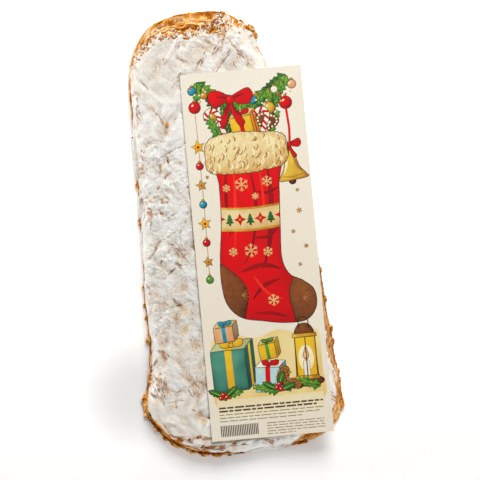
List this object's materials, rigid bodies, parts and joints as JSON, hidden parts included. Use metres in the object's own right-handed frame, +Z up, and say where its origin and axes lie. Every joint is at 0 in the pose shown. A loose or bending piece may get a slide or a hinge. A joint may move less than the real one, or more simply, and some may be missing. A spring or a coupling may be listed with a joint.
{
  "type": "spice bread",
  "caption": "Flat tongue-shaped spice bread with a white sugar glaze, golden crust round its edge, and a printed picture card lying on top.",
  "frame": {"origin": "middle of the bounding box of loaf and card, on the surface that the loaf lies on", "axes": "+Y along the loaf towards its narrow round head, +Z up from its flat base through the glazed top, +X to the right as seen from above with the head away from the viewer"},
  "size_m": [0.159, 0.3502, 0.0214],
  "materials": {
    "crust": "matte",
    "sugar_glaze": "satin",
    "card_paper": "satin"
  },
  "bodies": {
    "root": {"loaf": "crust", "card": "card_paper"}
  },
  "joints": []
}
